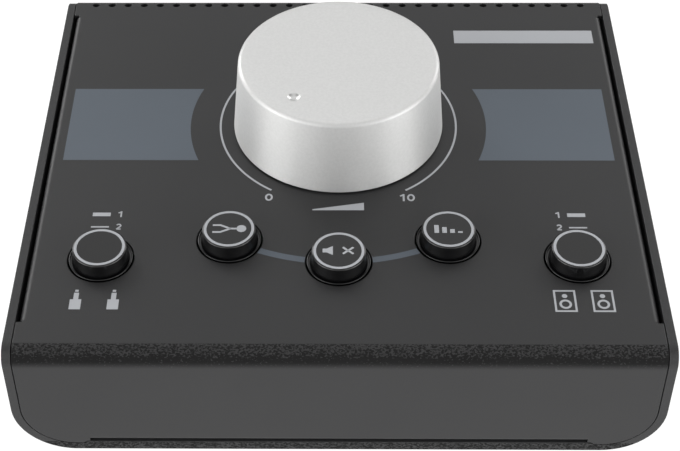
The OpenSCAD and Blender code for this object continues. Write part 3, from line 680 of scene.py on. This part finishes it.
@dataclass
class Knob:
    """The turned aluminium volume knob: flaring side, round upper edge and a pointer dimple."""

    foot_r: float
    top_r: float
    top: float
    gap: float
    edge: float = 1.3 * MM
    foot_edge: float = 0.3 * MM
    wall: float = 2.0 * MM
    roof: float = 3.0 * MM
    boss_r: float = 9.0 * MM
    bore_r: float = 7.05 * MM
    bore_foot: float = 7.5 * MM
    dimple_r: float = 2.0 * MM
    dimple_deep: float = 0.8 * MM
    dimple_dist: float = 23.2 * MM
    dimple_turn: float = math.radians(37.2)
    dimple_lip: float = 0.06 * MM

    @classmethod
    def of_solid(cls, corners: np.ndarray) -> Knob:
        """Takes the knob's main sizes from its solid, given as points (u, v, w)."""
        radius, w = np.hypot(corners[:, 0], corners[:, 1]), corners[:, 2]
        upper = w > w.max() - 1.02 * cls.edge
        return cls(foot_r=radius.max(), top_r=radius[upper].max(), top=w.max(), gap=w.min())

    def profile(self) -> np.ndarray:
        """Half section (r, w): top, round edge, side, foot, wall and roof inside, boss and its blind bore."""
        lean = math.atan2(self.foot_r - self.top_r, self.top - self.gap)
        edge_c = (self.top_r - self.edge, self.top - self.edge)
        near, far = self.dimple_dist - self.dimple_reach, self.dimple_dist + self.dimple_reach
        inner_roof = self.top - self.roof
        foot_c = (self.foot_r - self.foot_edge, self.gap + self.foot_edge)
        return np.concatenate([
            line((0, self.top), (near, self.top), 8)[:-1],
            line((near, self.top), (far, self.top), 45),
            arc(edge_c, self.edge, math.pi / 2, lean, 9),
            line((self.foot_r - 0.02 * MM, self.gap + 2 * self.foot_edge), (self.foot_r, foot_c[1]), 2),
            arc(foot_c, self.foot_edge, 0, FRONT, 5),
            line((self.foot_r - self.wall, self.gap), (self.top_r - self.wall, inner_roof), 2),
            line((self.boss_r, inner_roof), (self.boss_r, self.bore_foot), 2),
            line((self.bore_r, self.bore_foot), (self.bore_r, inner_roof), 2),
            [(0.0, inner_roof)],
        ])

    @property
    def dimple_at(self) -> np.ndarray:
        """Middle (u, v, w) of the dimple in the top's face."""
        middle = FRONT - self.dimple_turn
        return np.array([self.dimple_dist * math.cos(middle), self.dimple_dist * math.sin(middle), self.top])

    @property
    def dimple_reach(self) -> float:
        """Distance from the dimple's middle within which the mesh is fine and the dimple fades out."""
        return 1.6 * self.dimple_r

    def turns(self) -> np.ndarray:
        """Angles of one turn, closer together at the dimple."""
        middle = FRONT - self.dimple_turn
        half = self.dimple_reach / self.dimple_dist
        near = np.linspace(middle - half, middle + half, 41)
        rest = np.linspace(middle + half, middle - half + FULL_TURN, 151)
        return np.concatenate([near, rest[1:-1]])

    def sink(self, points: np.ndarray) -> np.ndarray:
        """Presses the dimple into the top: a ball's cap with a short round lip.

        The depth at distance d from the dimple's middle is the softened maximum of 0 and R's cap.
        """
        distance = np.linalg.norm(points[..., :2] - self.dimple_at[:2], axis=-1)
        ball = (self.dimple_r**2 + self.dimple_deep**2) / (2 * self.dimple_deep)
        cap = np.sqrt(np.maximum(ball**2 - distance**2, 0)) - (ball - self.dimple_deep)
        depth = (cap + np.sqrt(cap**2 + self.dimple_lip**2)) / 2
        fade = np.clip((self.dimple_reach - distance) / (0.5 * self.dimple_r), 0, 1)
        upper = points[..., 2] > self.top - 1e-7
        points[..., 2] -= np.where(upper, depth * fade, 0)
        return points

    def build(self, plane: PanelPlane, silver: SatinSilver) -> None:
        """Makes the knob's shell in place of its plain solid, with a turned side and a blasted top."""
        top, side = (
            finish.make(plane.place(self.dimple_at), self.dimple_r)
            for finish in (silver, replace(silver, name="turned_silver", drawn_out=0.8))
        )
        shape = Shape()
        shape.revolve(self.profile(), self.turns())
        shape.points[0] = self.sink(shape.points[0])
        piece = shape.build("knob_shell", top, plane)
        piece.data.materials.append(side)
        faces = plane.measure(piece, faces=True)
        outer = np.hypot(faces[:, 0], faces[:, 1]) > self.top_r - 0.8 * self.edge
        piece.data.polygons.foreach_set("material_index", outer.astype(np.int32))
        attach(piece, Body.VOLUME.value)
        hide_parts("volume_knob")
        LOG.info("knob shell: %d faces", len(piece.data.polygons))


@dataclass
class ButtonCap:
    """One push button: a glossy cap with a ring printed on its flat top."""

    function: Function
    centre: np.ndarray
    rim_r: float
    top: float
    skirt: float
    top_r: float = 7.75 * MM
    wall: float = 1.4 * MM
    shoulder: float = 0.5 * MM
    skirt_in: float = 0.3 * MM
    rim: float = 0.18 * MM
    rim_w: float = 0.1 * MM
    rim_end: float = -0.3
    groove: float = 0.45 * MM
    groove_w: float = -0.3 * MM
    ring_r: float = 7.3 * MM
    ring_line: float = 0.85 * MM
    mark_line: float = 0.7 * MM
    ink_t: float = 0.03 * MM

    @classmethod
    def of_solid(cls, function: Function, corners: np.ndarray) -> ButtonCap:
        """Takes the cap's place and main sizes from its solid, given as points (u, v, w)."""
        low, high = corners.min(axis=0), corners.max(axis=0)
        middle, half = (low + high) / 2, (high - low) / 2
        return cls(function, middle[:2], rim_r=half[0], top=high[2], skirt=-low[2])

    def profile(self) -> np.ndarray:
        """Half section (r, w): flat top, round shoulder, flaring side, groove, bead, skirt and inside."""
        skirt_r = self.rim_r - self.skirt_in
        shoulder_c = (self.top_r, self.top - self.shoulder)
        rim_c = (self.rim_r - self.rim, self.rim_w)
        foot_r = self.rim_r - 2 * self.rim - self.groove
        lean = math.atan2(foot_r - shoulder_c[0] - self.shoulder, shoulder_c[1] - self.groove_w)
        inner_r = skirt_r - self.wall
        return np.concatenate([
            line((0, self.top), (self.top_r, self.top), 5)[:-1],
            arc(shoulder_c, self.shoulder, math.pi / 2, lean, 10),
            line((self.top_r + self.shoulder, shoulder_c[1] - 0.3 * MM), (foot_r, self.groove_w), 6)[1:],
            line((foot_r + self.groove, self.groove_w), (foot_r + self.groove, self.rim_w), 2)[:-1],
            arc(rim_c, self.rim, math.pi, self.rim_end, 12),
            line((skirt_r, self.rim_w - self.rim), (skirt_r, -self.skirt), 2),
            line((inner_r, -self.skirt), (inner_r, self.top - self.wall), 2),
            [(0.0, self.top - self.wall)],
        ])

    def build(self, plane: PanelPlane, gloss: bpy.types.Material, ink: bpy.types.Material) -> None:
        """Makes the cap in place of its plain solid, with its printed ring and pictogram."""
        turns = np.linspace(0, FULL_TURN, 128, endpoint=False)
        shape = Shape()
        shape.revolve(self.profile(), turns, self.centre)
        cap = shape.build(f"{self.function.value}_cap_shell", gloss, plane)
        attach(cap, self.function.body)
        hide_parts(f"{self.function.value}_cap")
        marks = Shape((self.top - self.ink_t, self.top + self.ink_t))
        marks.trace(arc(self.centre, self.ring_r, 0, FULL_TURN, 97)[:-1], self.ring_line, closed=True)
        self.draw_pictogram(marks)
        print_piece = marks.build(f"{self.function.value}_cap_print", ink, plane)
        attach(print_piece, self.function.body)
        LOG.info("%s cap: %d faces", self.function.value, len(cap.data.polygons))

    def draw_pictogram(self, marks: Shape) -> None:
        """Adds the plain pictogram of the three middle buttons."""
        middle = self.centre
        if self.function is Function.MONO:
            for side in Side:
                v = side.value * 1.5 * MM
                marks.trace(middle + [(-5.0 * MM, v), (-2.6 * MM, v), (0.4 * MM, 0)], self.mark_line)
            marks.trace(middle + line((0, 0), (2.4 * MM, 0)), self.mark_line)
            marks.disc(middle + (3.8 * MM, 0), 1.5 * MM)
        elif self.function is Function.MUTE:
            cone = np.array([(-1.9, 0.8), (-0.7, 0.8), (1.2, 1.9)]) * MM
            spot = middle + (-3.0 * MM, 0)
            marks.slab(spot + cone, spot + cone * (1, -1))
            for side in Side:
                v = side.value * 1.4 * MM
                marks.trace(middle + line((1.2 * MM, -v), (4.4 * MM, v)), self.mark_line)
        elif self.function is Function.DIM:
            for number, height in enumerate((3.4 * MM, 2.5 * MM, 1.6 * MM, 0.7 * MM)):
                u, foot = (2.4 * number - 3.7) * MM, -1.7 * MM
                marks.trace(middle + line((u, foot), (u, foot + height)), 2 * self.mark_line)


@dataclass
class PanelPrint:
    """Everything printed on the sloping panel, as thin plates of ink."""

    mono: np.ndarray
    ink_t: float = 0.03 * MM
    scale_r: float = 39.0 * MM
    scale_line: float = 0.65 * MM
    scale_gap: float = math.radians(33.1)
    field_front: float = -18.4 * MM
    field_rear: float = 17.9 * MM
    field_out: float = 89.35 * MM
    field_arc: float = 48.94 * MM
    band_w: float = 2.3 * MM
    hole_r: float = 10.25 * MM
    hole_gap: float = 0.15 * MM
    scale_digit: float = 3.2 * MM
    selector_digit: float = 2.6 * MM
    selector_u: float = 74.1 * MM
    selector_half: float = 2.8 * MM
    bar: tuple[float, float, float, float] = (40.9 * MM, 89.7 * MM, 43.4 * MM, 50.6 * MM)

    @property
    def band_r(self) -> float:
        """Radius of the arc that the three middle buttons lie on."""
        return math.hypot(*self.mono)

    @property
    def band_turn(self) -> float:
        """Angle between two of the middle buttons, seen from the knob."""
        return math.atan2(-self.mono[0], -self.mono[1])

    def volume_scale(self, marks: Shape) -> None:
        """Adds the arc round the knob, with 0 and 10 at its ends and a rising wedge between them."""
        turns = (FRONT + self.scale_gap, FRONT + FULL_TURN - self.scale_gap)
        marks.trace(arc((0, 0), self.scale_r, *turns, 181), self.scale_line)
        for number, u, v in (("0", -22.0, -36.0), ("1", 20.2, -36.1), ("0", 22.9, -36.1)):
            digit(marks, number, (u * MM, v * MM), self.scale_digit)
        low_edge = line((-8.2 * MM, -41.9 * MM), (8.0 * MM, -41.9 * MM))
        high_edge = line((-8.2 * MM, -41.5 * MM), (8.0 * MM, -38.5 * MM))
        marks.slab(high_edge, low_edge)

    def side_field(self, marks: Shape, side: Side) -> None:
        """Adds a blue-grey field from near the cheek to an arc concentric with the knob."""
        v = np.linspace(self.field_front, self.field_rear, 33)
        inner = np.stack([side.value * np.sqrt(self.field_arc**2 - v**2), v], axis=-1)
        outer = np.stack([np.full_like(v, side.value * self.field_out), v], axis=-1)
        marks.slab(inner, outer)

    def button_band(self, marks: Shape) -> None:
        """Adds the blue-grey band that links the three middle buttons, cut back to the panel's holes.

        A circle of radius r about the knob meets the hole's edge, of radius h about a point at R, at the
        angle whose cosine is (r^2 + R^2 - h^2) / 2rR from that point.
        """
        clear = self.hole_r + self.hole_gap
        for side in Side:
            edges = []
            for radius in (self.band_r - self.band_w / 2, self.band_r + self.band_w / 2):
                cutback = math.acos((radius**2 + self.band_r**2 - clear**2) / (2 * radius * self.band_r))
                start = FRONT + side.value * cutback
                end = FRONT + side.value * (self.band_turn - cutback)
                edges.append(arc((0, 0), radius, start, end, 25))
            marks.slab(*edges)

    def selector(self, marks: Shape, side: Side) -> None:
        """Adds the marks round an outer button: two bars with 1 and 2, and two small drawings in front."""
        middle = side.value * self.selector_u
        for number, v, thick in (("1", -44.0 * MM, 1.6 * MM), ("2", -49.6 * MM, 0.6 * MM)):
            marks.trace(line((middle - self.selector_half, v), (middle + self.selector_half, v)), thick)
            digit(marks, number, (side.value * 68.3 * MM, v + 0.1 * MM), self.selector_digit)
        draw = self.draw_plug if side is Side.LEFT else self.draw_box
        for number in (-1, 1):
            draw(marks, np.array([side.value * 72.5 * MM + number * 5.6 * MM, -80.7 * MM]))

    def draw_plug(self, marks: Shape, centre: np.ndarray) -> None:
        """Adds a jack plug, for a source: a grip, a sleeve and a tip."""
        for start, end, width in ((-3.8, 0.2, 3.4), (0.2, 2.9, 1.5), (3.3, 4.1, 1.0)):
            marks.trace(centre + line((0, start * MM), (0, end * MM)), width * MM)

    def draw_box(self, marks: Shape, centre: np.ndarray) -> None:
        """Adds a loudspeaker box, for a monitor: an outline with a large and a small driver."""
        half_w, half_h = 3.0 * MM, 4.1 * MM
        corners = [(-half_w, -half_h), (half_w, -half_h), (half_w, half_h), (-half_w, half_h)]
        marks.trace(centre + corners, 0.6 * MM, closed=True)
        woofer = arc(centre + (0, -1.3 * MM), 1.5 * MM, 0, FULL_TURN, 33)[:-1]
        marks.trace(woofer, 0.7 * MM, closed=True)
        marks.disc(centre + (0, 2.0 * MM), 0.8 * MM)

    def title_bar(self, marks: Shape) -> None:
        """Adds the bare pale bar near the rear right corner."""
        left, right, front, rear = self.bar
        marks.slab(line((left, front), (left, rear)), line((right, front), (right, rear)))

    def build(self, plane: PanelPlane, ink: bpy.types.Material, blue: bpy.types.Material) -> None:
        """Makes every print, each one piece that rides on the chassis."""
        prints = (
            ("volume_scale_print", ink, self.volume_scale, ()),
            ("left_field_print", blue, self.side_field, (Side.LEFT,)),
            ("right_field_print", blue, self.side_field, (Side.RIGHT,)),
            ("button_band_print", blue, self.button_band, ()),
            ("source_marks_print", ink, self.selector, (Side.LEFT,)),
            ("monitor_marks_print", ink, self.selector, (Side.RIGHT,)),
            ("title_bar_print", ink, self.title_bar, ()),
        )
        for name, finish, draw, where in prints:
            marks = Shape((-self.ink_t / 2, self.ink_t))
            draw(marks, *where)
            piece = marks.build(name, finish, plane)
            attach(piece, Body.CHASSIS.value)
            LOG.info("%s: %d faces", name, len(piece.data.polygons))


def digit(marks: Shape, number: str, centre: Sequence[float], height: float) -> None:
    """Adds a plain digit drawn with an even line.

    Args:
        marks: the print that it joins.
        number: 0, 1 or 2.
        centre: its middle (u, v).
        height: its height over all.
    """
    width = 0.19 * height
    half = (height - width) / 2
    spot = np.asarray(centre, float)
    if number == "0":
        marks.trace(spot + arc((0, 0), half, 0, FULL_TURN, 33)[:-1] * (0.72, 1), width, closed=True)
    elif number == "1":
        stem = line((0.12 * height, height / 2), (0.12 * height, -height / 2))
        flag = line((-0.22 * height, half * 0.55), (0.10 * height, half * 0.98))
        marks.trace(spot + stem, width)
        marks.trace(spot + flag, width * 0.9)
    elif number == "2":
        bow = arc((0, half * 0.42), half * 0.58, math.radians(160), math.radians(-40), 17)
        foot = line((-half * 0.62, -half), (half * 0.68, -half))
        marks.trace(spot + np.concatenate([bow, foot[:1]]), width)
        marks.trace(spot + foot, width)


@dataclass
class Case:
    """Finishes of the sheet-metal case, the sockets and everything inside, which keep their own solids."""

    front: float
    bend: float = 5.0 * MM
    lip_top: float = -39.3 * MM

    def finishes(self, plane: PanelPlane) -> dict[str, bpy.types.Material]:
        """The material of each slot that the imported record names."""
        ahead = self.front - MM
        bend_shade_v, bend_shade_w = (ahead, self.front + 0.9 * self.bend), (-0.6 * self.bend, MM)
        lip_v, lip_w = (ahead, self.front + 3 * MM), (self.lip_top - 10 * MM, self.lip_top)
        # The front bend's zone is partly the coat's coarse speckle and partly painted shade: its flecks grow
        # denser towards the foot and fade down onto the front face.
        bend = Zone(bend_shade_v, bend_shade_w, soft=0.3 * MM, fade=3 * MM, foot=0.15)
        lip = Zone(lip_v, lip_w, soft=0.1 * MM, fade=0.1 * MM)
        panel = PowderCoat("charcoal_panel_coat", (31, 31, 32), zone=bend)
        case = PowderCoat("charcoal_case_coat", (35, 35, 36), stretch=(1, 0.25, 1), mottle=0.10, zone=lip)
        return {
            "panel_coat": panel.make(plane),
            "case_coat": case.make(plane),
            "zinc_steel": BareMetal("bright_zinc", (205, 206, 208)).make(),
            "black_screw": BareMetal("black_zinc", (62, 62, 64), roughness=0.38).make(),
            "foot_rubber": Moulding("foot_rubber", (30, 30, 31), 0.8, depth=0.02 * MM).make(),
            "black_nylon": Moulding("black_nylon", (32, 32, 33), 0.5).make(),
            "shaft_steel": BareMetal("turned_steel", (198, 198, 196), roughness=0.24).make(),
            "white_nylon": Moulding("natural_acetal", (226, 223, 214), 0.42).make(),
            "brass": BareMetal("turned_brass", (206, 178, 118), roughness=0.26).make(),
            "housing_grey": Moulding("glass_filled_grey", (58, 63, 69), 0.6).make(),
            "track_resin": Moulding("phenolic_track", (38, 40, 44), 0.35).make(),
            "spring_steel": BareMetal("spring_wire", (196, 197, 198), roughness=0.22).make(),
            "board_green": Moulding("solder_mask_green", (30, 84, 48), 0.28).make(),
            "resistor_black": Moulding("resistor_black", (24, 25, 27), 0.4).make(),
            "jack_black": Moulding("socket_black", (27, 28, 29), 0.42).make(),
            "contact_gold": BareMetal("gold_plate", (222, 196, 132), roughness=0.2).make(),
            "header_black": Moulding("connector_black", (34, 35, 38), 0.5).make(),
            "ribbon_grey": Moulding("ribbon_grey", (118, 122, 128), 0.5, grain=1.27 * MM).make(),
        }

    def dress(self, frame: dict, finishes: dict[str, bpy.types.Material]) -> None:
        """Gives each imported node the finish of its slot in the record."""
        for part in frame["record"]["subparts"]:
            name, finish = part["node"], finishes.get(part["material_slot"])
            if finish is None:
                continue
            for material_slot in frame["nodes"][name].material_slots:
                material_slot.material = finish
            LOG.info("%s: finish %s", name, finish.name)


@dataclass(frozen=True)
class SoftLight:
    """A soft bright patch of the studio's surroundings.

    The turn is counted in degrees from the rear towards the right, and the rise from the horizon.
    """

    turn: float
    rise: float
    reach: float
    strength: float

    def share(self, ray: Sequence[Value]) -> Value:
        """Brightness along a ray: smoothly from 0 at the patch's rim to its strength in the middle."""
        turn, rise = math.radians(self.turn), math.radians(self.rise)
        aim = (math.sin(turn) * math.cos(rise), math.cos(turn) * math.cos(rise), math.sin(rise))
        along = ray[0] * aim[0] + ray[1] * aim[1] + ray[2] * aim[2]
        return along.step(math.cos(math.radians(self.reach)), 1.0) * self.strength


@dataclass
class Studio:
    """Floor, surroundings and camera."""

    camera_at: tuple[float, float, float] = (-2.79 * MM, -428.82 * MM, 358.33 * MM)
    camera_turn: tuple[float, float, float] = (51.94, 0.341, 0.596)
    lens: float = 84.98
    shift: float = 0.0433
    floor_half: float = 6.0
    floor_tone: tuple[float, float, float] = (238, 238, 238)
    floor_glow: float = 1.2
    glow_seen: float = 0.8
    glow_in_gloss: float = 0.96
    lit_ahead: float = 0.16
    lit_fade: float = 0.25
    dim_light: float = 0.01
    lights: tuple[SoftLight, ...] = (
        SoftLight(turn=0, rise=10, reach=40, strength=0.18),
        SoftLight(turn=0, rise=64, reach=55, strength=0.84),
        SoftLight(turn=-42, rise=28, reach=18, strength=6.4),
        SoftLight(turn=42, rise=28, reach=18, strength=4.2),
        SoftLight(turn=-85, rise=12, reach=26, strength=1.2),
        SoftLight(turn=85, rise=12, reach=26, strength=1.2),
        SoftLight(turn=-112, rise=12, reach=26, strength=4.8),
        SoftLight(turn=112, rise=12, reach=26, strength=4.3),
        SoftLight(turn=-140, rise=15, reach=28, strength=2.2),
        SoftLight(turn=140, rise=15, reach=28, strength=1.9),
        SoftLight(turn=180, rise=40, reach=50, strength=0.85),
    )

    def add_camera(self) -> None:
        """Places the camera at the photograph's viewpoint; its picture is cut a little off its middle."""
        data = bpy.data.cameras.new("camera")
        data.lens = self.lens
        data.shift_x = self.shift
        data.sensor_width = 36.0
        data.clip_start = 0.01
        camera = bpy.data.objects.new("camera", data)
        camera.location = self.camera_at
        camera.rotation_euler = [math.radians(turn) for turn in self.camera_turn]
        bpy.context.scene.collection.objects.link(camera)
        bpy.context.scene.camera = camera

    def add_floor(self) -> None:
        """Lays a pale floor that looks white to the camera and still takes the object's shadow.

        In gloss it is as white near the object, and darker further ahead of it.
        """
        shader = Shader("studio_floor", self.floor_tone, roughness=0.7)
        rays = shader.node("ShaderNodeLightPath").outputs
        camera, glossy, through = (Value(shader, rays[f"Is {kind} Ray"])
                                   for kind in ("Camera", "Glossy", "Transmission"))
        glow = shader.node("ShaderNodeEmission", None, {"Color": (1, 1, 1, 1), "Strength": self.floor_glow})
        _, back, _ = shader.split(shader.place)
        near = back.step(-self.lit_ahead - self.lit_fade, -self.lit_ahead)
        seen = camera * self.glow_seen + (glossy + through) * near * self.glow_in_gloss
        inputs = {0: seen, 1: shader.surface.outputs[0], 2: glow.outputs[0]}
        mixed = shader.node("ShaderNodeMixShader", None, inputs)
        shader.tree.links.new(mixed.outputs[0], shader.tree.nodes["Material Output"].inputs["Surface"])
        shape = Shape()
        corners = np.array([(-1, -1, 0), (1, -1, 0), (1, 1, 0), (-1, 1, 0)]) * self.floor_half
        shape.add(corners, [(0, 1, 2, 3)])
        floor = shape.build("floor", shader.material)

    def add_world(self) -> None:
        """Surrounds the object with dim light and soft bright patches; the camera sees plain white."""
        world = bpy.data.worlds.new("studio")
        world.use_nodes = True
        bpy.context.scene.world = world
        graph = Graph(world.node_tree)
        ray = graph.split(graph.node("ShaderNodeTexCoord").outputs["Generated"])
        light = sum((patch.share(ray) for patch in self.lights), self.dim_light)
        seen = Value(graph, graph.node("ShaderNodeLightPath").outputs["Is Camera Ray"])
        strength = light + seen * (1.0 - light)
        graph.tree.links.new(strength.socket, graph.tree.nodes["Background"].inputs["Strength"])
        graph.tree.nodes["Background"].inputs["Color"].default_value = (1, 1, 1, 1)

    def build(self) -> None:
        """Sets up the whole studio."""
        bpy.context.scene.view_settings.view_transform = "Standard"
        self.add_camera()
        self.add_floor()
        self.add_world()


def main() -> None:
    """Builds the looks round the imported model, one sub-assembly after the other."""
    logging.basicConfig(level=logging.INFO, format="%(name)s: %(message)s")
    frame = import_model()
    nodes = frame["nodes"]
    plane = PanelPlane.of_joint(frame["joints"][0])
    Studio().build()
    case = Case(front=plane.measure(nodes["top_cover"])[:, 1].min())
    case.dress(frame, case.finishes(plane))
    ink = Ink("pale_print", (166, 168, 172)).make()
    blue = Ink("blue_grey_print", (80, 88, 97)).make()
    Knob.of_solid(plane.measure(nodes["volume_knob"])).build(plane, SatinSilver("satin_silver"))
    gloss = Moulding("gloss_black", (8, 8, 9), 0.16, depth=0.001 * MM, shine=0.62).make()
    caps = {
        function: ButtonCap.of_solid(function, plane.measure(nodes[f"{function.value}_cap"]))
        for function in Function
    }
    PanelPrint(mono=caps[Function.MONO].centre).build(plane, ink, blue)
    for cap in caps.values():
        cap.build(plane, gloss, ink)


if __name__ == "__main__":
    main()
